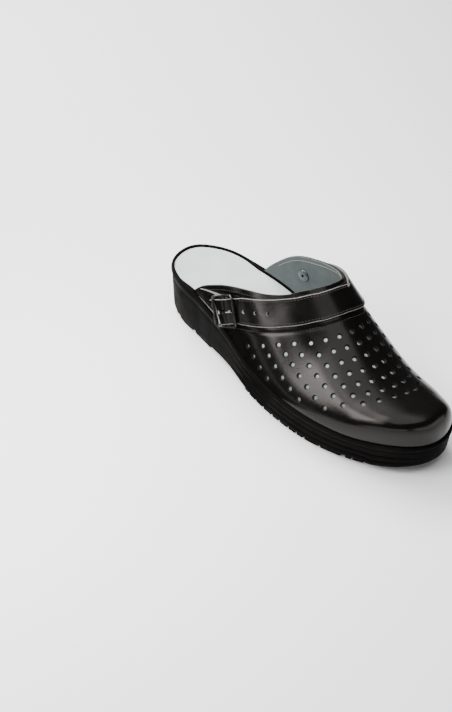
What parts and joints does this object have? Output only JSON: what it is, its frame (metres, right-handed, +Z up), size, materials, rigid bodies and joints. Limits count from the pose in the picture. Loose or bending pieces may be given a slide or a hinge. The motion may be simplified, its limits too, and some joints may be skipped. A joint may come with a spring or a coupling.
{
  "type": "shoe",
  "caption": "Black open-back leather work clog for the right foot, with a perforated upper, a buckled strap over the instep, a pale insole and a moulded sole",
  "frame": {"origin": "middle of the footprint's bounding box, on the floor under the tread", "axes": "+X from heel to toe, +Y from the lateral (buckle) side to the medial side, +Z up"},
  "size_m": [0.28, 0.0984, 0.0936],
  "materials": {
    "sole": "matte black foamed polyurethane",
    "footbed": "pale grey napped lining leather",
    "upper_leather": "smooth black grain leather with a soft gloss",
    "strap_leather": "smooth black leather with pale cut edges",
    "metal": "glossy gunmetal plating"
  },
  "bodies": {
    "root": {"outsole": "sole", "insole": "footbed", "upper": "upper_leather", "strap": "strap_leather", "buckle_tab": "strap_leather", "buckle_frame": "metal", "buckle_prong": "metal", "medial_rivet": "metal"}
  },
  "joints": []
}
